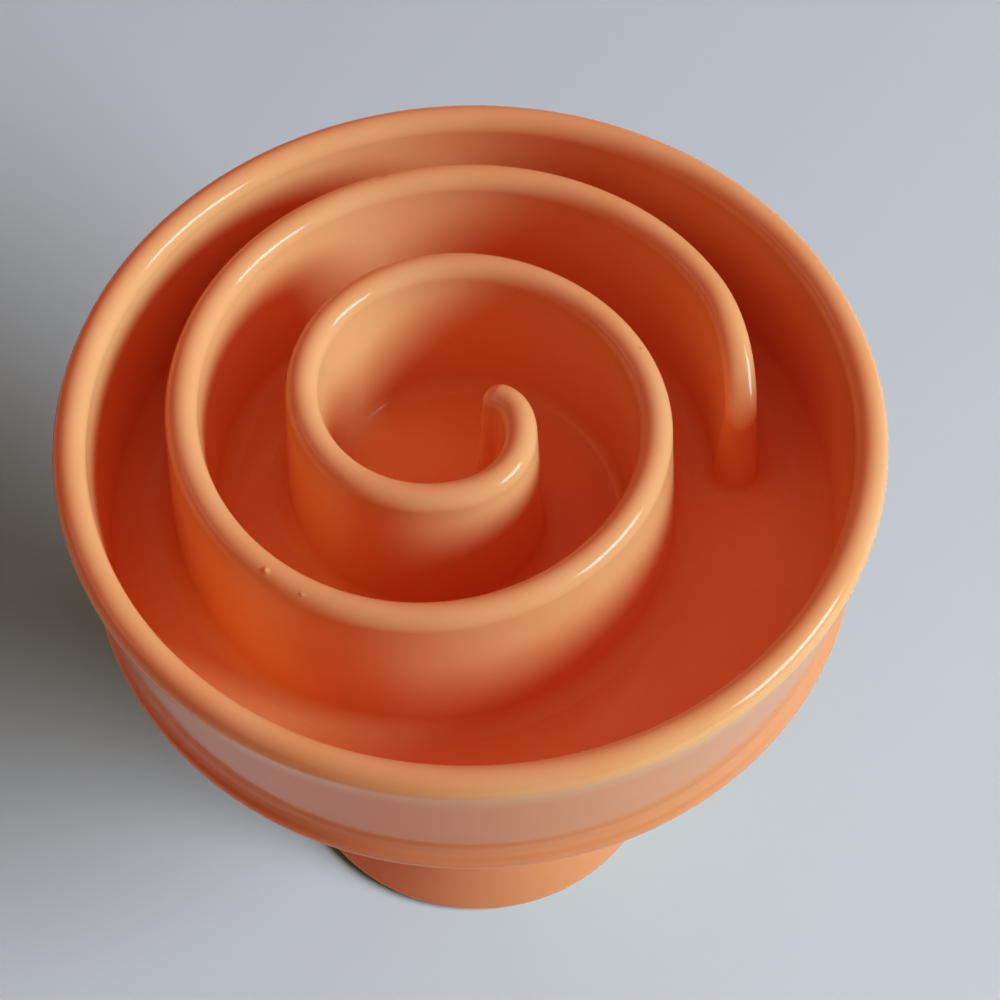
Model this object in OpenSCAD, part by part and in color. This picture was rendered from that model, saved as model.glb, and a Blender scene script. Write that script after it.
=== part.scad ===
// Raised slow feeder bowl: a round bowl with a spiral wall inside, on a hollow flared pedestal.
// The bowl, the spiral wall and the pedestal are formed apart, joined with slip and fired as one.
// The origin is at the centre of the base, on the table, with +Z up. All sizes are millimetres.

/* [Bowl] */
// Diameter over the lip
bowl_d = 150; // [130:1:180]
// Height of the lip's top above the table
rim_h = 124; // [112:1:150]
// Depth from the lip's top to the floor
bowl_depth = 34; // [30:1:40]
// Thickness of the rounded lip
lip_w = 6; // [5.6:0.1:7.5]
// Radius of the blend where the outer wall leaves the lip
lip_blend_r = 5; // [3:0.5:7]
// Inward lean of the outer wall, from the lip down
wall_lean = 9.7; // [8:0.1:10.5]
// Inward lean of the inner wall, from the lip down
inner_lean = 4; // [2:0.5:5]
// Radius of the cove between the inner wall and the floor
floor_cove_r = 6.5; // [4:0.5:9]
// Thickness of the floor over the pedestal
floor_t = 6; // [5:0.5:9]
// Radius of the bead round the bottom of the wall
bead_r = 2; // [1.5:0.1:2.4]
// Drop from the lip's top to the middle of the bead
bead_drop = 35.4; // [33.6:0.2:37]
// Radius of the groove over the bead
groove_r = 2.6; // [2:0.1:3.2]

/* [Spiral wall] */
// Thickness of the wall at its rounded crest
spiral_w = 5.9; // [5:0.1:6.5]
// Drop from the lip's top to the wall's crest
spiral_drop = 0.4; // [0:0.1:4]
// Outward lean of each side, from the crest down
spiral_lean = 2.8; // [1:0.2:3.4]
// Radius of the cove where the wall meets the floor
spiral_cove_r = 2.8; // [1.6:0.1:3.2]
// Fall of the crest to the outer end
outer_fall = 10; // [4:1:14]
// Fall of the crest to the inner end
inner_fall = 1.4; // [0:0.2:3]
// Depth of the tongue under the wall, set into the floor
tongue_h = 1.2; // [0.8:0.1:2]

/* [Pedestal] */
// Diameter over the foot
foot_d = 76; // [66:1:90]
// Diameter at the waist
waist_d = 50; // [44:1:56]
// Height of the waist above the table
waist_h = 52; // [46:1:58]
// Diameter of the collar under the bowl
collar_d = 72; // [66:1:84]
// Thickness of the collar's edge
collar_edge = 2; // [1.5:0.1:3]
// Thickness of the stem's wall
stem_wall = 5; // [4:0.2:6]
// Radius of the foot's rounded edge
foot_edge_r = 1.4; // [1:0.1:3]
// Height of the ring that registers the pedestal in the bowl's underside
register_h = 1.6; // [1:0.1:2.2]
// Thickness of that ring
register_w = 3.6; // [3:0.1:4.5]

/* [Non-slip ring] */
// Width of the soft ring under the foot
ring_w = 4; // [3:0.1:4.4]
// Thickness of the soft ring
ring_t = 2; // [1.6:0.1:3]
// How far it stands out below the foot
ring_proud = 0.4; // [0.2:0.1:0.8]

/* [Fits] */
// Gap for slip round each tongue and register
slip_gap = 0.15; // [0.1:0.05:0.3]
// Side gap of the soft ring in its groove
ring_gap = 0.15; // [0.1:0.05:0.3]

/* [Hidden] */
glaze_colour = [0.87, 0.49, 0.22];
glaze_deep_colour = [0.80, 0.40, 0.16];
ring_colour = [0.86, 0.84, 0.80];

// One overrun serves every cut
overrun = 1;
arc_steps = 12;
revolve_fn = 160;

// Heights that several pieces share
floor_z = rim_h - bowl_depth;
under_z = floor_z - floor_t;
foot_z = ring_proud;

// Lip, wall, groove and bead, as points of the outer outline
lip_r = lip_w / 2;
lip_c = [bowl_d / 2 - lip_r, rim_h - lip_r];
lip_blend_angle = -28;
lip_blend_c = lip_c + polar(lip_r + lip_blend_r, lip_blend_angle);
wall_top = lip_blend_c + polar(lip_blend_r, 180 - wall_lean);
bead_top_angle = 50;
groove_c_z = rim_h - bead_drop + (bead_r + groove_r) * sin(bead_top_angle);
wall_foot_z = groove_c_z + groove_r * sin(wall_lean);
wall_foot = [wall_top[0] - (wall_top[1] - wall_foot_z) * tan(wall_lean), wall_foot_z];
groove_c = wall_foot - polar(groove_r, 180 - wall_lean);
bead_c = groove_c - polar(bead_r + groove_r, bead_top_angle);

// Inner wall and the cove that turns it into the floor
inner_top = lip_c + polar(lip_r, 180 + inner_lean);
inner_run = (inner_top[1] + floor_cove_r * sin(inner_lean) - floor_z - floor_cove_r) / cos(inner_lean);
cove_c = inner_top - inner_run * [sin(inner_lean), cos(inner_lean)]
    + floor_cove_r * [-cos(inner_lean), sin(inner_lean)];

// Spiral: how far its middle line lies from the bowl's axis, as guide shares of the bowl's
// radius, one each sixth of a turn. The line runs clockwise, seen from above, and outward.
guide_shares = [0.055, 0.135, 0.11, 0.15, 0.21, 0.39, 0.525, 0.45,
    0.445, 0.45, 0.58, 0.695, 0.78, 0.765, 0.68, 0.41];
guide_step = 60;
guide_start = -60;
spiral_from = -54;
spiral_to = 710;
spiral_steps = 82;
end_steps = 8;
// Turns over which the crest falls to each end, and the steps of the longer fall
outer_fall_turn = 23;
inner_fall_turn = 80;
fall_steps = 6;
heading_step = 0.5;
spiral_h = rim_h - spiral_drop - floor_z;
crest_r = spiral_w / 2;
crest_h = spiral_h - crest_r;
side_w = crest_r / cos(spiral_lean);
root_w = side_w + crest_h * tan(spiral_lean);
// The cove stays inside the tightest bend of the middle line, at its inner end, and grows from
// there; it shrinks where the wall nears the bowl's own cove
tightest_bend_share = 0.0744;
inner_cove = min(spiral_cove_r, bowl_d / 2 * tightest_bend_share - root_w);
cove_turn = 110;
cove_climb_share = 0.3;
least_cove_share = 0.2;
crest_angles = [0, 15, 30, 45, 60, 73, 84];
cove_steps = 4;

// Each level of the wall, from the tongue up over the crest: half width and height, then how
// much of the cove's radius each takes on
wall_levels = concat(
    [[root_w, -tongue_h, 0, 0], [root_w, 0, 0, 0]],
    [for (i = [0:cove_steps])
        let (a = 90 * i / cove_steps)
        [root_w, 0, 1 - sin(a) - tan(spiral_lean), 1 - cos(a)]],
    [for (a = crest_angles) [side_w * cos(a), crest_h + crest_r * sin(a), 0, 0]]);

// Vertices of an outline: out along the left side, round the outer end, back along the right
// side and round the inner end; each is an angle of turn and a direction from the heading
spiral_angles = concat(
    [for (i = [0:spiral_steps])
        spiral_from + (spiral_to - outer_fall_turn - spiral_from) * i / spiral_steps],
    [for (i = [1:fall_steps]) spiral_to - outer_fall_turn * (1 - i / fall_steps)]);
last_angle = len(spiral_angles) - 1;
outline_places = concat(
    [for (a = spiral_angles) [a, 90]],
    [for (k = [1:end_steps - 1]) [spiral_to, 90 - 180 * k / end_steps]],
    [for (i = [0:last_angle]) [spiral_angles[last_angle - i], -90]],
    [for (k = [1:end_steps - 1]) [spiral_from, -90 - 180 * k / end_steps]]);

// Pedestal: the outer line runs from the foot's edge to the waist and out to the collar
foot_pull_share = 0.42;
bore_pull_share = 0.24;
waist_pull_share = 0.5;
collar_pull_share = 0.55;
stem_steps = 16;
foot_lean = 32;
foot_edge_c = [foot_d / 2 - foot_edge_r, foot_z + foot_edge_r];
flare_from = foot_edge_c + polar(foot_edge_r, foot_lean);
flare_pull = (waist_h - flare_from[1]) * foot_pull_share;
waist_at = [waist_d / 2, waist_h];
collar_at = [collar_d / 2, under_z - collar_edge];

// Ring under the foot, midway across the foot's flat
foot_land = 1.6;
foot_flat_in = foot_d / 2 - foot_edge_r - ring_w - 2 * ring_gap - 2 * foot_land;
ring_in = foot_flat_in + foot_land + ring_gap;
ring_out = ring_in + ring_w;

// Register ring between the pedestal's top and the bowl's underside
register_in = waist_d / 2 - stem_wall + register_w + collar_edge;

function polar(r, a) = r * [cos(a), sin(a)];

function arc(c, r, a0, a1, steps = arc_steps) =
    [for (i = [0:steps]) c + polar(r, a0 + (a1 - a0) * i / steps)];

// Cubic Bezier through four points
function bezier(p0, p1, p2, p3, steps) =
    [for (i = [0:steps])
        let (t = i / steps, s = 1 - t)
        s * s * s * p0 + 3 * s * s * t * p1 + 3 * s * t * t * p2 + t * t * t * p3];

// Smooth blend of four neighbouring guide shares
function blend(f, g) =
    (g[0] * pow(1 - f, 3) + g[1] * (3 * pow(f, 3) - 6 * f * f + 4)
        + g[2] * (3 * (f + f * f - pow(f, 3)) + 1) + g[3] * pow(f, 3)) / 6;

function reach(a) =
    let (u = (a - guide_start) / guide_step, i = floor(u))
    bowl_d / 2 * blend(u - i, [for (k = [0:3]) guide_shares[i + k]]);

function spiral_at(a) = let (r = reach(a)) [r * cos(a), -r * sin(a)];

// Heading of the middle line, by a small step to each side
function spiral_heading(a) =
    let (d = spiral_at(a + heading_step) - spiral_at(a - heading_step))
    atan2(d[1], d[0]);

// Point at a distance w from the middle line, in a direction from its heading
function beside(place, w) = spiral_at(place[0]) + polar(w, spiral_heading(place[0]) + place[1]);

function spiral_outline(w) = [for (place = outline_places) beside(place, w)];

function cove_at(a) =
    let (grown = inner_cove + (spiral_cove_r - inner_cove) * min(1, (a - spiral_from) / cove_turn),
        room = cove_c[0] + floor_cove_r * cove_climb_share - root_w - reach(a))
    max(spiral_cove_r * least_cove_share, min(grown, room));

// Share of its full height that the wall has at angle a, also past the ends of the line
function height_share(a) =
    1 - outer_fall / spiral_h * pow(max(0, 1 - (spiral_to - a) / outer_fall_turn), 2)
        - inner_fall / spiral_h * pow(max(0, 1 - (a - spiral_from) / inner_fall_turn), 2);

// Angle that a vertex a distance w from the line reaches along it, so a rounded end falls on
function angle_of(place, w) = place[0] + w * cos(place[1]) / reach(place[0]) * 180 / PI;

function level_points(level) =
    [for (place = outline_places)
        let (cove = cove_at(place[0]),
            w = level[0] + cove * level[2],
            p = beside(place, w),
            h = level[1] + cove * level[3])
        [p[0], p[1], floor_z + max(h, 0) * height_share(angle_of(place, w)) + min(h, 0)]];

module revolved(points) {
    rotate_extrude($fn = revolve_fn) polygon(points);
}

module ring_of(inner_r, outer_r, z0, z1) {
    revolved([[inner_r, z0], [outer_r, z0], [outer_r, z1], [inner_r, z1]]);
}

module bowl_body() {
    outline = concat(
        [[0, under_z], [collar_d / 2, under_z]],
        arc(bead_c, bead_r, -90, bead_top_angle),
        arc(groove_c, groove_r, 180 + bead_top_angle, 180 - wall_lean),
        arc(lip_blend_c, lip_blend_r, 180 - wall_lean, 180 + lip_blend_angle),
        arc(lip_c, lip_r, lip_blend_angle, 180 + inner_lean, 2 * arc_steps),
        arc(cove_c, floor_cove_r, -inner_lean, -90),
        [[0, floor_z]]);
    color(glaze_colour) difference() {
        revolved(outline);
        // Seat of the spiral wall's tongue
        translate([0, 0, floor_z - tongue_h]) linear_extrude(tongue_h + overrun)
            polygon(spiral_outline(root_w + slip_gap));
        // Seat of the pedestal's register
        ring_of(register_in - slip_gap, register_in + register_w + slip_gap,
            under_z - overrun, under_z + register_h);
    }
}

module spiral_wall() {
    levels = len(wall_levels);
    count = len(outline_places);
    points = [for (level = wall_levels) each level_points(level)];
    sides = [for (j = [0:levels - 2], i = [0:count - 1])
        let (n = (i + 1) % count)
        each [[j * count + i, (j + 1) * count + n, (j + 1) * count + i],
            [j * count + i, j * count + n, (j + 1) * count + n]]];
    right_end = 2 * last_angle + end_steps;
    strip = [for (i = [0:last_angle - 1])
        each [[i, i + 1, right_end - i - 1], [i, right_end - i - 1, right_end - i]]];
    outer_end = [for (k = [1:end_steps - 1]) [last_angle, last_angle + k, last_angle + k + 1]];
    inner_end = [for (k = [1:end_steps - 1]) [right_end, right_end + k, (right_end + k + 1) % count]];
    caps = concat(strip, outer_end, inner_end);
    top = (levels - 1) * count;
    // Each face is clockwise, seen from outside, so the caps below turn the other way
    color(glaze_deep_colour) polyhedron(points = points, faces = concat(
        sides,
        [for (f = caps) [for (k = [len(f) - 1:-1:0]) f[k]]],
        [for (f = caps) [for (v = f) v + top]]));
}

module pedestal() {
    outer = concat(
        arc(foot_edge_c, foot_edge_r, -90, foot_lean),
        bezier(flare_from,
            flare_from + polar(flare_pull, 90 + foot_lean),
            waist_at - [0, (waist_h - flare_from[1]) * waist_pull_share],
            waist_at, stem_steps),
        bezier(waist_at,
            waist_at + [0, (collar_at[1] - waist_h) * waist_pull_share],
            collar_at - [(collar_d - waist_d) / 2 * collar_pull_share, 0],
            collar_at, stem_steps),
        [[collar_d / 2, under_z]]);
    bore_top = waist_d / 2 - stem_wall;
    inner = concat(
        [[bore_top, under_z]],
        bezier([bore_top, waist_h],
            [bore_top, waist_h - (waist_h - foot_z) * waist_pull_share],
            [foot_flat_in, foot_z + (waist_h - foot_z) * bore_pull_share],
            [foot_flat_in, foot_z], stem_steps));
    color(glaze_colour) difference() {
        union() {
            revolved(concat(outer, inner));
            ring_of(register_in, register_in + register_w, under_z - collar_edge, under_z + register_h - slip_gap);
        }
        // Groove for the soft ring
        ring_of(ring_in - ring_gap, ring_out + ring_gap, foot_z - overrun, ring_t);
    }
}

module non_slip_ring() {
    color(ring_colour) ring_of(ring_in, ring_out, 0, ring_t);
}

bowl_body();
spiral_wall();
pedestal();
non_slip_ring();
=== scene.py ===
import math

import bmesh
import bpy
from mathutils import Matrix, Vector


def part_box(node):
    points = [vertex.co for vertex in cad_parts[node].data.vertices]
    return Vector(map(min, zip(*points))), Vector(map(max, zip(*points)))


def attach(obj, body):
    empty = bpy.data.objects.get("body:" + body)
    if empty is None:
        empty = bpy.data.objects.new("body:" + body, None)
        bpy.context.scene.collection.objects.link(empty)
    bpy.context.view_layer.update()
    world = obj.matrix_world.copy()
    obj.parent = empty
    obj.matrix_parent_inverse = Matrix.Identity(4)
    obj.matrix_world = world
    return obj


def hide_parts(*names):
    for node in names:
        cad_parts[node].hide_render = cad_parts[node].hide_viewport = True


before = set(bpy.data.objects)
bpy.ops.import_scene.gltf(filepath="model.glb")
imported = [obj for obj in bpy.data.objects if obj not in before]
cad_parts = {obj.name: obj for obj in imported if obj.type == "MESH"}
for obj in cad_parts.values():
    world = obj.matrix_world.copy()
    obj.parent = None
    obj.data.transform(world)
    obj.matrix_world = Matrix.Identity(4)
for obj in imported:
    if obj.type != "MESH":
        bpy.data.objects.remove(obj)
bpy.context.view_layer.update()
print("frame loaded:", ", ".join(sorted(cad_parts)))

mm = 0.001
scene = bpy.context.scene

# Sizes that come from the frame, in millimetres
bowlLow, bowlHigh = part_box("bowl_body")
stemLow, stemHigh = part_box("pedestal")
ringLow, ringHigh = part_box("non_slip_ring")
rimRadius = (bowlHigh.x - bowlLow.x) / 2 / mm
rimHeight = bowlHigh.z / mm
underHeight = bowlLow.z / mm
footRadius = (stemHigh.x - stemLow.x) / 2 / mm
footHeight = stemLow.z / mm
ringRadius = (ringHigh.x - ringLow.x) / 2 / mm
ringHeight = ringHigh.z / mm


# An outline is a list of points (distance from the axis, height) in millimetres
def polar(radius, degrees):
    return Vector((radius * math.cos(math.radians(degrees)), radius * math.sin(math.radians(degrees))))


def arc(centre, radius, start, end, steps):
    return [centre + polar(radius, start + (end - start) * i / steps) for i in range(steps + 1)]


def bezier(a, b, c, d, steps):
    points = []
    for i in range(steps + 1):
        t = i / steps
        s = 1 - t
        points.append(s**3 * a + 3 * s * s * t * b + 3 * s * t * t * c + t**3 * d)
    return points


def drawOutline(bm, outline, closed=False):
    verts = [bm.verts.new((p.x * mm, 0, p.y * mm)) for p in outline]
    edges = [bm.edges.new(pair) for pair in zip(verts, verts[1:])]
    if closed:
        edges.append(bm.edges.new((verts[-1], verts[0])))
    return verts, edges


def turnOutline(outline, steps, closed=False):
    bm = bmesh.new()
    verts, edges = drawOutline(bm, outline, closed)
    bmesh.ops.spin(bm, geom=verts + edges, cent=(0, 0, 0), axis=(0, 0, 1), dvec=(0, 0, 0),
                   angle=2 * math.pi, steps=steps, use_merge=True, use_duplicate=False)
    return bm


def finishPiece(bm, name, materials, nodes, sharpAngle=50):
    bmesh.ops.remove_doubles(bm, verts=bm.verts, dist=0.002 * mm)
    bmesh.ops.recalc_face_normals(bm, faces=bm.faces)
    for face in bm.faces:
        face.smooth = True
    for edge in bm.edges:
        if len(edge.link_faces) == 2 and edge.calc_face_angle() > math.radians(sharpAngle):
            edge.smooth = False
    mesh = bpy.data.meshes.new(name)
    bm.to_mesh(mesh)
    bm.free()
    for material in materials:
        mesh.materials.append(material)
    piece = bpy.data.objects.new(name, mesh)
    scene.collection.objects.link(piece)
    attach(piece, "root")
    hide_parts(*nodes)
    print("made", name, len(mesh.polygons), "faces")
    return piece


# Glaze: orange with a faint mottle. Painted shade makes it a darker, redder orange on the outside and the
# pedestal. A few pinholes under the gloss are darkened with painted shade

glaze = {
    "orange": (0.975, 0.383, 0.107),
    "paler": (0.985, 0.41, 0.124),
    "mottleSize": 14,
    # Painted shade: a darker, redder orange for the outside of the bowl and the pedestal
    "outside": (0.9, 0.285, 0.083),
    "outsideShadeFrom": 3,  # below the rim
    "outsideShadeFull": 9,
    "middleLean": 8,  # of the surface halfway through the bowl's wall, in degrees
    "middleBlend": 0.5,
    "underShadeFrom": 1,  # below the bowl's floor
    "underShadeFull": 2.5,
    "ior": 1.5,
    "roughness": 0.6,
    "sheen": 0.1,  # specular level under the gloss
    "gloss": 0.72,
    "glossRoughness": 0.115,
    "rippleSize": 3.2,
    "rippleHeight": 0.012,
    "pinholeSpacing": 5.5,
    "pinholeRadius": 0.16,
    "pinholeDepth": 0.10,
    "pinholeShare": 0.16,
    # Painted shade inside the pinholes: the dark orange they are darkened towards, and by how much
    "pinholeShadeColour": (0.35, 0.1, 0.03),
    "pinholeShade": 0.55,
}


def newMaterial(name):
    material = bpy.data.materials.new(name)
    material.use_nodes = True
    nodes = material.node_tree.nodes
    nodes.clear()
    shader = nodes.new("ShaderNodeBsdfPrincipled")
    output = nodes.new("ShaderNodeOutputMaterial")
    material.node_tree.links.new(shader.outputs["BSDF"], output.inputs["Surface"])
    return material, nodes, material.node_tree.links, shader


def objectNoise(nodes, links, size, detail=2.0, roughness=0.5):
    coords = nodes.new("ShaderNodeTexCoord")
    noise = nodes.new("ShaderNodeTexNoise")
    noise.inputs["Scale"].default_value = 1 / (size * mm)
    noise.inputs["Detail"].default_value = detail
    noise.inputs["Roughness"].default_value = roughness
    links.new(coords.outputs["Object"], noise.inputs["Vector"])
    return noise


def mapped(nodes, links, source, low, high, toLow, toHigh):
    remap = nodes.new("ShaderNodeMapRange")
    remap.inputs["From Min"].default_value = low
    remap.inputs["From Max"].default_value = high
    remap.inputs["To Min"].default_value = toLow
    remap.inputs["To Max"].default_value = toHigh
    links.new(source, remap.inputs["Value"])
    return remap.outputs["Result"]


def multiplied(nodes, links, a, b):
    product = nodes.new("ShaderNodeMath")
    product.operation = "MULTIPLY"
    links.new(a, product.inputs[0])
    links.new(b, product.inputs[1])
    return product.outputs["Value"]


# Share of the painted shade: 1 on the outside of the bowl and on the pedestal, 0 on the lip and everywhere
# inside
def outsideShadeShare(nodes, links):
    coords = nodes.new("ShaderNodeTexCoord")
    flat = nodes.new("ShaderNodeVectorMath")
    flat.operation = "MULTIPLY"
    flat.inputs[1].default_value = (1, 1, 0)
    links.new(coords.outputs["Object"], flat.inputs[0])
    length = nodes.new("ShaderNodeVectorMath")
    length.operation = "LENGTH"
    links.new(flat.outputs["Vector"], length.inputs[0])
    split = nodes.new("ShaderNodeSeparateXYZ")
    links.new(coords.outputs["Object"], split.inputs["Vector"])
    height = split.outputs["Z"]

    # The wall's middle surface leans in from the middle of the lip
    top = rimHeight * mm
    wallDepth = (rimHeight - underHeight) * mm
    lipMiddle = (rimRadius - bowl["lipWidth"] / 2) * mm
    footMiddle = lipMiddle - wallDepth * math.tan(math.radians(glaze["middleLean"]))
    middle = mapped(nodes, links, height, top - wallDepth, top, footMiddle, lipMiddle)
    beyond = nodes.new("ShaderNodeMath")
    beyond.operation = "SUBTRACT"
    links.new(length.outputs["Value"], beyond.inputs[0])
    links.new(middle, beyond.inputs[1])
    blend = glaze["middleBlend"] * mm
    onWall = mapped(nodes, links, beyond.outputs["Value"], -blend, blend, 0, 1)
    below = mapped(nodes, links, height, (floorHeight - glaze["underShadeFrom"]) * mm,
                   (floorHeight - glaze["underShadeFull"]) * mm, 0, 1)
    either = nodes.new("ShaderNodeMath")
    either.operation = "MAXIMUM"
    links.new(onWall, either.inputs[0])
    links.new(below, either.inputs[1])
    underLip = mapped(nodes, links, height, top - glaze["outsideShadeFrom"] * mm,
                      top - glaze["outsideShadeFull"] * mm, 0, 1)
    return multiplied(nodes, links, either.outputs["Value"], underLip)


def bumped(nodes, links, height, distance, under=None):
    bump = nodes.new("ShaderNodeBump")
    bump.inputs["Strength"].default_value = 1.0
    bump.inputs["Distance"].default_value = distance * mm
    links.new(height, bump.inputs["Height"])
    if under:
        links.new(under, bump.inputs["Normal"])
    return bump.outputs["Normal"]


# Each colour is a plain one or another node's output
def mixed(nodes, links, share, a, b):
    mix = nodes.new("ShaderNodeMix")
    mix.data_type = "RGBA"
    links.new(share, mix.inputs["Factor"])
    for colour, socket in ((a, mix.inputs["A"]), (b, mix.inputs["B"])):
        if isinstance(colour, tuple):
            socket.default_value = (*colour, 1)
        else:
            links.new(colour, socket)
    return mix.outputs["Result"]


def orangeGlaze():
    material, nodes, links, shader = newMaterial("orangeGlaze")
    mottle = objectNoise(nodes, links, glaze["mottleSize"], detail=3)
    palerShare = mapped(nodes, links, mottle.outputs["Fac"], 0.35, 0.7, 0, 1)
    inside = mixed(nodes, links, palerShare, glaze["orange"], glaze["paler"])
    # Painted shade: the outside of the bowl and the pedestal are mixed over to the darker, redder orange
    shadedOutside = mixed(nodes, links, outsideShadeShare(nodes, links), inside, glaze["outside"])

    # Pinholes sit only in the cells whose random value is low enough
    coords = nodes.new("ShaderNodeTexCoord")
    cells = nodes.new("ShaderNodeTexVoronoi")
    cells.inputs["Scale"].default_value = 1 / (glaze["pinholeSpacing"] * mm)
    links.new(coords.outputs["Object"], cells.inputs["Vector"])
    spread = glaze["pinholeRadius"] / glaze["pinholeSpacing"]
    near = mapped(nodes, links, cells.outputs["Distance"], spread * 0.4, spread, 1, 0)
    split = nodes.new("ShaderNodeSeparateColor")
    links.new(cells.outputs["Color"], split.inputs["Color"])
    chosen = nodes.new("ShaderNodeMath")
    chosen.operation = "LESS_THAN"
    chosen.inputs[1].default_value = glaze["pinholeShare"]
    links.new(split.outputs["Red"], chosen.inputs[0])
    holes = multiplied(nodes, links, near, chosen.outputs["Value"])

    # Painted shade: the pinholes are darkened towards a dark orange, as shade inside the pits
    shade = mapped(nodes, links, holes, 0, 1, 0, glaze["pinholeShade"])
    links.new(mixed(nodes, links, shade, shadedOutside, glaze["pinholeShadeColour"]), shader.inputs["Base Color"])

    ripple = objectNoise(nodes, links, glaze["rippleSize"], detail=1)
    rippled = bumped(nodes, links, ripple.outputs["Fac"], glaze["rippleHeight"])
    pitted = bumped(nodes, links, mapped(nodes, links, holes, 0, 1, 0, -1), glaze["pinholeDepth"], rippled)
    links.new(pitted, shader.inputs["Normal"])
    links.new(pitted, shader.inputs["Coat Normal"])

    shader.inputs["Roughness"].default_value = glaze["roughness"]
    shader.inputs["IOR"].default_value = glaze["ior"]
    shader.inputs["Specular IOR Level"].default_value = glaze["sheen"]
    shader.inputs["Coat Weight"].default_value = glaze["gloss"]
    shader.inputs["Coat Roughness"].default_value = glaze["glossRoughness"]
    shader.inputs["Coat IOR"].default_value = glaze["ior"]
    return material


# Bare clay, where the foot stood in the kiln

clay = {
    "dark": (0.60, 0.52, 0.43),
    "pale": (0.78, 0.71, 0.62),
    "grainSize": 0.5,
    "grainHeight": 0.06,
    "roughness": 0.9,
}


def bareClay():
    material, nodes, links, shader = newMaterial("bareClay")
    grain = objectNoise(nodes, links, clay["grainSize"], detail=4, roughness=0.7)
    paleShare = mapped(nodes, links, grain.outputs["Fac"], 0.3, 0.7, 0, 1)
    links.new(mixed(nodes, links, paleShare, clay["dark"], clay["pale"]), shader.inputs["Base Color"])
    links.new(bumped(nodes, links, grain.outputs["Fac"], clay["grainHeight"]), shader.inputs["Normal"])
    shader.inputs["Roughness"].default_value = clay["roughness"]
    return material


# Silicone of the soft ring, pale and a little cloudy

silicone = {
    "dark": (0.66, 0.64, 0.60),
    "pale": (0.74, 0.72, 0.69),
    "hazeSize": 2.5,
    "grainSize": 0.25,
    "grainHeight": 0.02,
    "roughness": 0.6,
    "cloudiness": 0.25,
    "cloudDepth": 1.2,
}


def softSilicone():
    material, nodes, links, shader = newMaterial("softSilicone")
    haze = objectNoise(nodes, links, silicone["hazeSize"], detail=3)
    colour = mixed(nodes, links, haze.outputs["Fac"], silicone["dark"], silicone["pale"])
    links.new(colour, shader.inputs["Base Color"])
    grain = objectNoise(nodes, links, silicone["grainSize"])
    links.new(bumped(nodes, links, grain.outputs["Fac"], silicone["grainHeight"]), shader.inputs["Normal"])
    shader.inputs["Roughness"].default_value = silicone["roughness"]
    shader.inputs["Subsurface Weight"].default_value = silicone["cloudiness"]
    shader.inputs["Subsurface Radius"].default_value = (1, 1, 1)
    shader.inputs["Subsurface Scale"].default_value = silicone["cloudDepth"] * mm
    return material


# Bowl: lip, leaning wall with a groove and a bead, and a floor with a cove round it

bowl = {
    "depth": 34,
    "lipWidth": 6,
    "lipBlend": 55.4,
    "lipBlendAngle": -15,
    "wallLean": 9.7,
    "innerLean": 4,
    "floorCove": 6.5,
    "beadRadius": 2,
    "beadDrop": 35.4,
    "beadTopAngle": 40,
    "grooveRadius": 4.5,
    "underRadius": 36,
    "turnSteps": 288,
}

floorHeight = rimHeight - bowl["depth"]


def bowlOutline():
    lip = bowl["lipWidth"] / 2
    lean = bowl["wallLean"]
    lipCentre = Vector((rimRadius - lip, rimHeight - lip))
    blendCentre = lipCentre + polar(lip + bowl["lipBlend"], bowl["lipBlendAngle"])
    wallTop = blendCentre + polar(bowl["lipBlend"], 180 - lean)
    reach = bowl["beadRadius"] + bowl["grooveRadius"]
    grooveHeight = rimHeight - bowl["beadDrop"] + reach * math.sin(math.radians(bowl["beadTopAngle"]))
    wallFoot = grooveHeight + bowl["grooveRadius"] * math.sin(math.radians(lean))
    wallFootAt = Vector((wallTop.x - (wallTop.y - wallFoot) * math.tan(math.radians(lean)), wallFoot))
    grooveCentre = wallFootAt - polar(bowl["grooveRadius"], 180 - lean)
    beadCentre = grooveCentre - polar(reach, bowl["beadTopAngle"])

    inner = bowl["innerLean"]
    innerTop = lipCentre + polar(lip, 180 + inner)
    down = polar(1, 270 - inner)
    cove = bowl["floorCove"]
    drop = innerTop.y + cove * math.sin(math.radians(inner)) - floorHeight - cove
    run = drop / math.cos(math.radians(inner))
    coveCentre = innerTop + run * down - polar(cove, -inner)

    return ([Vector((0, underHeight)), Vector((bowl["underRadius"], underHeight))]
            + arc(beadCentre, bowl["beadRadius"], -90, bowl["beadTopAngle"], 18)
            + arc(grooveCentre, bowl["grooveRadius"], 180 + bowl["beadTopAngle"], 180 - lean, 12)
            + arc(blendCentre, bowl["lipBlend"], 180 - lean, 180 + bowl["lipBlendAngle"], 10)
            + arc(lipCentre, lip, bowl["lipBlendAngle"], 180 + inner, 40)
            + arc(coveCentre, cove, -inner, -90, 18)
            + [Vector((0, floorHeight))])


def makeBowl():
    bm = turnOutline(bowlOutline(), bowl["turnSteps"])
    return finishPiece(bm, "bowlShell", [glazeMaterial], ["bowl_body"])


# Spiral wall: one profile carried along a smooth line, with a half turn of it at each end

spiral = {
    "dropBelowRim": 0.4,
    "crestWidth": 5.9,
    "sideLean": 2.8,
    "floorCove": 3.4,
    "tightCove": 1.1,
    "leastCove": 0.7,
    "coveTurn": 110,
    "footRoom": 62.6,
    "guideShares": [0.055, 0.135, 0.11, 0.15, 0.21, 0.39, 0.525, 0.45,
                    0.445, 0.45, 0.58, 0.695, 0.78, 0.765, 0.68, 0.41],
    "guideStep": 60,
    "guideStart": -60,
    "turnFrom": -54,
    "turnTo": 710,
    "outerFall": 10,
    "outerFallTurn": 23,
    "innerFall": 1.4,
    "innerFallTurn": 80,
    "pathSteps": 382,
    "endSteps": 28,
}


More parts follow.
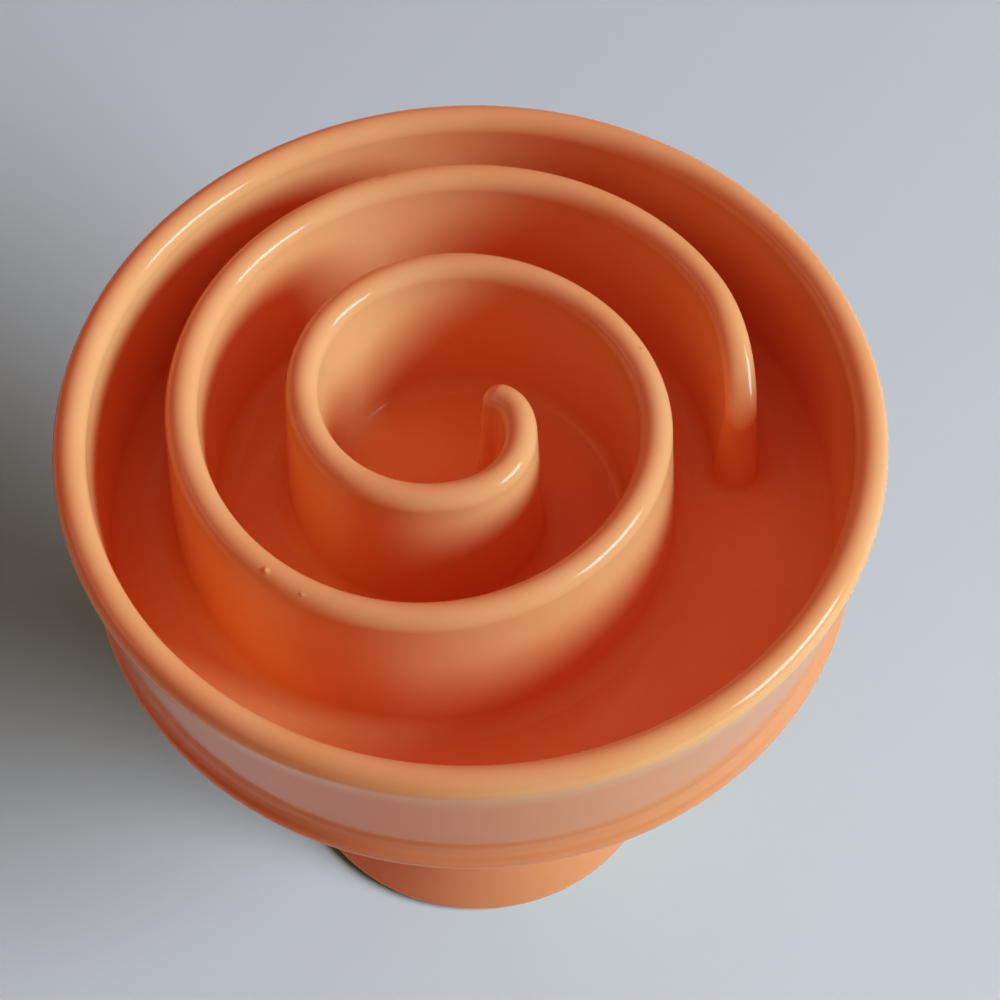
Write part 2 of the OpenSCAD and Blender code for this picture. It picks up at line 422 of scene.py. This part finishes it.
def lineReach(turn):
    place = (turn - spiral["guideStart"]) / spiral["guideStep"]
    index = math.floor(place)
    f = place - index
    g = spiral["guideShares"][index:index + 4]
    blend = (g[0] * (1 - f)**3 + g[1] * (3 * f**3 - 6 * f * f + 4)
             + g[2] * (3 * (f + f * f - f**3) + 1) + g[3] * f**3) / 6
    return rimRadius * blend


# The line runs clockwise, seen from above
def linePoint(turn):
    at = polar(lineReach(turn), -turn)
    return Vector((at.x * mm, at.y * mm, 0))


def linePlace(turn):
    ahead = linePoint(turn + 0.5) - linePoint(turn - 0.5)
    return Matrix.Translation(linePoint(turn)) @ Matrix.Rotation(math.atan2(ahead.y, ahead.x), 4, "Z")


# How much of its full height the wall has, also a little past the ends of the line
def heightShare(turn):
    outerPart = max(0, 1 - (spiral["turnTo"] - turn) / spiral["outerFallTurn"])
    innerPart = max(0, 1 - (turn - spiral["turnFrom"]) / spiral["innerFallTurn"])
    fall = spiral["outerFall"] * outerPart**2 + spiral["innerFall"] * innerPart**2
    return 1 - fall / (rimHeight - spiral["dropBelowRim"] - floorHeight)


# Half of the profile, from the middle of the foot out along the floor and up to the crest
def halfProfile(turn):
    crest = spiral["crestWidth"] / 2
    lean = math.radians(spiral["sideLean"])
    top = rimHeight - spiral["dropBelowRim"] - crest - floorHeight
    rootWidth = (crest + top * math.sin(lean)) / math.cos(lean)
    grown = min(1, (turn - spiral["turnFrom"]) / spiral["coveTurn"])
    cove = spiral["tightCove"] + (spiral["floorCove"] - spiral["tightCove"]) * grown
    cove = max(spiral["leastCove"], min(cove, spiral["footRoom"] - rootWidth - lineReach(turn)))
    coveAt = (crest + cove - (cove - top) * math.sin(lean)) / math.cos(lean)
    outline = [Vector((0, 0))] + arc(Vector((coveAt, cove)), cove, 270, 180 + spiral["sideLean"], 10)
    outline += arc(Vector((0, top)), crest, spiral["sideLean"], 90, 22)
    return [Vector((p.x, floorHeight + p.y * heightShare(turn))) for p in outline]


def ringPoints(turn):
    half = halfProfile(turn)
    place = linePlace(turn)
    sides = [(p.x, p.y) for p in half] + [(-p.x, p.y) for p in reversed(half[1:-1])]
    return [place @ Vector((0, x * mm, z * mm)) for x, z in sides]


# Marks in the crest's glaze: how far along the line, how far over to the outer side, and how high
crestMarks = {
    "pimple": {"turn": 500.1, "tilt": 21, "radius": 0.5, "height": 0.42},
    "dot": {"turn": 490.6, "tilt": 30, "radius": 0.3, "height": 0.2},
    "paleSpot": {"turn": 334.8, "tilt": 25, "radius": 0.32, "height": 0.2},
    "notch": {"turn": 615, "tilt": 48, "radius": 1.1, "height": -0.22},
}


def markCrest(bm):
    crest = spiral["crestWidth"] / 2
    for mark in crestMarks.values():
        place = linePlace(mark["turn"])
        tilt = math.radians(mark["tilt"])
        outward = place.to_3x3() @ Vector((0, math.sin(tilt), math.cos(tilt)))
        crestCentre = place @ Vector((0, 0, (rimHeight - spiral["dropBelowRim"] - crest) * mm))
        middle = crestCentre + outward * crest * mm
        radius = mark["radius"] * mm
        for cuts in (3, 1):  # finer faces round the mark
            close = [v for v in bm.verts if (v.co - middle).length < radius * 3.5]
            near = list({e for v in close for e in v.link_edges if e.calc_length() > radius * 0.3})
            bmesh.ops.subdivide_edges(bm, edges=near, cuts=cuts, use_grid_fill=True)
        for v in bm.verts:  # a smooth swell or dip
            away = (v.co - middle).length / radius
            if away < 3:
                v.co += outward * mark["height"] * mm * math.exp(-away * away)


def leftSide(edges, place):
    back = place.inverted()
    return [e for e in edges if max((back @ v.co).y for v in e.verts) > 0.001 * mm]


def makeSpiral():
    bm = bmesh.new()
    share = (spiral["turnTo"] - spiral["turnFrom"]) / spiral["pathSteps"]
    ring = [bm.verts.new(p) for p in ringPoints(spiral["turnFrom"])]
    edges = [bm.edges.new((ring[i], ring[(i + 1) % len(ring)])) for i in range(len(ring))]
    firstPlace = linePlace(spiral["turnFrom"])
    ends = [(spiral["turnFrom"], firstPlace, leftSide(edges, firstPlace), 180)]
    for i in range(spiral["pathSteps"]):
        grown = bmesh.ops.extrude_edge_only(bm, edges=edges)["geom"]
        fresh = {g for g in grown if isinstance(g, bmesh.types.BMVert)}
        ring = [next(e.other_vert(v) for e in v.link_edges if e.other_vert(v) in fresh) for v in ring]
        for v, point in zip(ring, ringPoints(spiral["turnFrom"] + share * (i + 1))):
            v.co = point
        edges = [g for g in grown if isinstance(g, bmesh.types.BMEdge) and set(g.verts) <= fresh]
    lastPlace = linePlace(spiral["turnTo"])
    ends.append((spiral["turnTo"], lastPlace, leftSide(edges, lastPlace), -180))

    # Each end is the profile's left side turned half round a standing axis, and falls on with the crest
    for turn, place, side, angle in ends:
        before = set(bm.verts)
        verts = list({v for e in side for v in e.verts})
        bmesh.ops.spin(bm, geom=verts + side, cent=place.to_translation(), axis=(0, 0, 1), dvec=(0, 0, 0),
                       angle=math.radians(angle), steps=spiral["endSteps"], use_merge=False,
                       use_duplicate=False)
        back = place.inverted()
        for v in set(bm.verts) - before:
            past = (back @ v.co).x / mm / lineReach(turn)
            share = heightShare(turn + math.degrees(past)) / heightShare(turn)
            v.co.z = floorHeight * mm + (v.co.z - floorHeight * mm) * share
    markCrest(bm)
    return finishPiece(bm, "spiralWall", [glazeMaterial], ["spiral_wall"])


# Pedestal: a hollow flared stem, with a collar that meets the bowl in a small fillet

stem = {
    "waistRadius": 25,
    "waistHeight": 52,
    "collarRadius": 36,
    "collarEdge": 2,
    "collarRound": 0.9,
    "wall": 5,
    "footEdge": 1.4,
    "footLean": 32,
    "footPull": 0.42,
    "borePull": 0.24,
    "waistPull": 0.5,
    "collarPull": 0.55,
    "footLand": 1.6,
    "landRound": 0.5,
    "ringWidth": 4,
    "ringGap": 0.15,
    "bareSlack": 0.04,
    "turnSteps": 224,
}


def stemOutline():
    edge = stem["footEdge"]
    ringOuter = ringRadius
    ringInner = ringOuter - stem["ringWidth"]
    gap = stem["ringGap"]
    boreRadius = ringInner - gap - stem["footLand"]
    rounding = stem["landRound"]

    edgeCentre = Vector((footRadius - edge, footHeight + edge))
    flareStart = edgeCentre + polar(edge, stem["footLean"])
    waist = Vector((stem["waistRadius"], stem["waistHeight"]))
    collar = Vector((stem["collarRadius"] - stem["collarRound"], underHeight - stem["collarEdge"]))
    rise = waist.y - flareStart.y
    outside = arc(edgeCentre, edge, -90, stem["footLean"], 14)
    outside += bezier(flareStart, flareStart + polar(rise * stem["footPull"], 90 + stem["footLean"]),
                      waist - Vector((0, rise * stem["waistPull"])), waist, 40)
    flare = stem["collarRadius"] - stem["waistRadius"]
    outside += bezier(waist, waist + Vector((0, (collar.y - waist.y) * stem["waistPull"])),
                      collar - Vector((flare * stem["collarPull"], 0)), collar, 36)
    roundCentre = collar + Vector((0, stem["collarRound"]))
    outside += arc(roundCentre, stem["collarRound"], -90, 0, 8)
    outside += [Vector((stem["collarRadius"], underHeight))]

    boreTop = stem["waistRadius"] - stem["wall"]
    down = stem["waistHeight"] - footHeight
    boreFoot = Vector((boreRadius + rounding, footHeight))
    inside = [Vector((boreTop, underHeight))]
    inside += bezier(Vector((boreTop, stem["waistHeight"])),
                     Vector((boreTop, stem["waistHeight"] - down * stem["waistPull"])),
                     Vector((boreRadius, footHeight + down * stem["borePull"])),
                     Vector((boreRadius, footHeight + rounding)), 30)
    inside += arc(boreFoot + Vector((0, rounding)), rounding, 180, 270, 5)

    # The groove for the soft ring, in the foot's flat
    groove = [Vector((ringInner - gap, footHeight)), Vector((ringInner - gap, ringHeight)),
              Vector((ringOuter + gap, ringHeight)), Vector((ringOuter + gap, footHeight))]
    return outside + inside + groove


def makeStem():
    bm = turnOutline(stemOutline(), stem["turnSteps"], closed=True)
    slack = stem["bareSlack"]
    grooveMiddle = ringRadius - stem["ringWidth"] / 2
    grooveReach = stem["ringWidth"] / 2 + stem["ringGap"] + slack
    for face in bm.faces:
        centre = face.calc_center_median() / mm
        reach = centre.xy.length
        onLand = centre.z < footHeight + slack
        inGroove = centre.z < ringHeight + slack and abs(reach - grooveMiddle) < grooveReach
        if reach < footRadius - stem["footEdge"] + slack and (onLand or inGroove):
            face.material_index = 1
    return finishPiece(bm, "pedestalStem", [glazeMaterial, clayMaterial], ["pedestal"])


# Soft ring under the foot

softRing = {
    "edgeRound": 0.35,
    "turnSteps": 192,
}


def makeSoftRing():
    rounding = softRing["edgeRound"]
    inner = ringRadius - stem["ringWidth"]
    low = ringLow.z / mm
    outline = []
    for x, z, start in ((ringRadius, low, -90), (ringRadius, ringHeight, 0),
                        (inner, ringHeight, 90), (inner, low, 180)):
        centre = Vector((x + (rounding if x == inner else -rounding),
                         z + (rounding if z == low else -rounding)))
        outline += arc(centre, rounding, start, start + 90, 4)
    bm = turnOutline(outline, softRing["turnSteps"], closed=True)
    return finishPiece(bm, "nonSlipRing", [siliconeMaterial], ["non_slip_ring"])


glazeMaterial = orangeGlaze()
clayMaterial = bareClay()
siliconeMaterial = softSilicone()
pieces = [makeBowl(), makeSpiral(), makeStem(), makeSoftRing()]


# Floor, lights and camera: strengths are red, green and blue, and the angles are in degrees

studio = {
    "floorSize": 4.0,
    "floorColour": (0.28, 0.72, 0.78),
    "floorRoughness": 0.62,
    "floorGrain": 1.2,
    "floorGrainHeight": 0.01,
    "windowAzimuth": -16,
    "windowHeightAngle": 24.2,
    "windowSpread": 22.7,
    "windowStrength": (1.31, 3.08, 5.5),
    "tableAzimuth": -25,
    "tableHeightAngle": 27,
    "tableDistance": 2.0,
    "tableWidth": 1.35,
    "tableStrength": (126, 53.5, 56),
    "glintColour": (0.78, 0.88, 1.0),
    "glintWidth": 28,
    "glintHeight": 16,
    "glintDistance": 1.2,
    "glintPower": 7,
    "backGlintAzimuth": 174,
    "backGlintPower": 0.4,
    "roomColour": (0.11, 0.038, 0.026),
    "roomLean": (1.01, 0.52, 1.69),
    "bounceAzimuth": 53,
    "bounceHeightAngle": 87.4,
    "bounceSpread": 150,
    "bounceStrength": (0.554, 0.363, 0.638),
}


def makeFloor():
    bm = bmesh.new()
    bmesh.ops.create_grid(bm, x_segments=1, y_segments=1, size=studio["floorSize"] / 2)
    mesh = bpy.data.meshes.new("paleFloor")
    bm.to_mesh(mesh)
    bm.free()
    floor = bpy.data.objects.new("paleFloor", mesh)
    material, nodes, links, shader = newMaterial("paleTable")
    grain = objectNoise(nodes, links, studio["floorGrain"])
    shader.inputs["Base Color"].default_value = (*studio["floorColour"], 1)
    shader.inputs["Roughness"].default_value = studio["floorRoughness"]
    rough = bumped(nodes, links, grain.outputs["Fac"], studio["floorGrainHeight"])
    links.new(rough, shader.inputs["Normal"])
    mesh.materials.append(material)
    scene.collection.objects.link(floor)
    return floor


# A light stands round the middle of the rim, and lights only its receivers where it has some
def lightHolder(name, light, azimuth, heightAngle, distance, receivers):
    level = math.cos(math.radians(heightAngle))
    away = Vector((math.cos(math.radians(azimuth)) * level, math.sin(math.radians(azimuth)) * level,
                   math.sin(math.radians(heightAngle))))
    holder = bpy.data.objects.new(name, light)
    holder.location = away * distance + Vector((0, 0, rimHeight * mm))
    holder.rotation_mode = "QUATERNION"
    holder.rotation_quaternion = away.to_track_quat("Z", "Y")
    scene.collection.objects.link(holder)
    if receivers:
        lit = bpy.data.collections.new(name + "Receivers")
        for piece in receivers:
            lit.objects.link(piece)
        holder.light_linking.receiver_collection = lit
    return holder


# A soft light from far away
def softWindow(name, azimuth, heightAngle, spread, strength, receivers):
    light = bpy.data.lights.new(name, "SUN")
    light.angle = math.radians(spread)
    light.energy = max(strength)
    light.color = [part / max(strength) for part in strength]
    holder = lightHolder(name, light, azimuth, heightAngle, 1, receivers)
    holder.visible_glossy = False


# The table's own window light
def tableLight():
    light = bpy.data.lights.new("tableLight", "AREA")
    light.shape = "DISK"
    light.size = studio["tableWidth"]
    light.energy = max(studio["tableStrength"])
    light.color = [part / light.energy for part in studio["tableStrength"]]
    holder = lightHolder("tableLight", light, studio["tableAzimuth"], studio["tableHeightAngle"],
                         studio["tableDistance"], [floor])
    holder.visible_glossy = False


# A long, low strip seen only in the gloss
def glintStrip(name, azimuth, heightAngle, power):
    distance = studio["glintDistance"]
    light = bpy.data.lights.new(name, "AREA")
    light.shape = "RECTANGLE"
    light.size = 2 * distance * math.tan(math.radians(studio["glintWidth"] / 2))
    light.size_y = 2 * distance * math.tan(math.radians(studio["glintHeight"] / 2))
    light.energy = power
    light.color = studio["glintColour"]
    holder = lightHolder(name, light, azimuth, heightAngle, distance, [])
    holder.visible_diffuse = False


# The room is brighter towards one side: its light grows with the dot product of two directions
def makeRoom():
    world = bpy.data.worlds.new("softRoom")
    world.use_nodes = True
    nodes, links = world.node_tree.nodes, world.node_tree.links
    background = nodes["Background"]
    coords = nodes.new("ShaderNodeTexCoord")
    towards = nodes.new("ShaderNodeVectorMath")
    towards.operation = "DOT_PRODUCT"
    towards.inputs[1].default_value = studio["roomLean"]
    links.new(coords.outputs["Generated"], towards.inputs[0])
    strength = mapped(nodes, links, towards.outputs["Value"], -1, 3, 0, 4)
    background.inputs["Color"].default_value = (*studio["roomColour"], 1)
    links.new(strength, background.inputs["Strength"])
    scene.world = world


floor = makeFloor()
makeRoom()
softWindow("windowLight", studio["windowAzimuth"], studio["windowHeightAngle"], studio["windowSpread"],
           studio["windowStrength"], pieces)
softWindow("roomBounce", studio["bounceAzimuth"], studio["bounceHeightAngle"], studio["bounceSpread"],
           studio["bounceStrength"], pieces)
tableLight()
glintStrip("windowGlint", studio["windowAzimuth"], studio["windowHeightAngle"], studio["glintPower"])
glintStrip("backGlint", studio["backGlintAzimuth"], studio["windowHeightAngle"], studio["backGlintPower"])
scene.view_settings.view_transform = "Standard"
scene.view_settings.look = "Medium High Contrast"

view = {
    "place": (0, -306.683, 565.243),
    "turn": (33.2302, 0.4136, -1.5966),
    "lens": 108,
}
cameraData = bpy.data.cameras.new("viewCamera")
cameraData.lens = view["lens"]
cameraData.sensor_width = 36
camera = bpy.data.objects.new("viewCamera", cameraData)
camera.location = Vector(view["place"]) * mm
camera.rotation_euler = [math.radians(a) for a in view["turn"]]
scene.collection.objects.link(camera)
scene.camera = camera
print("studio ready")
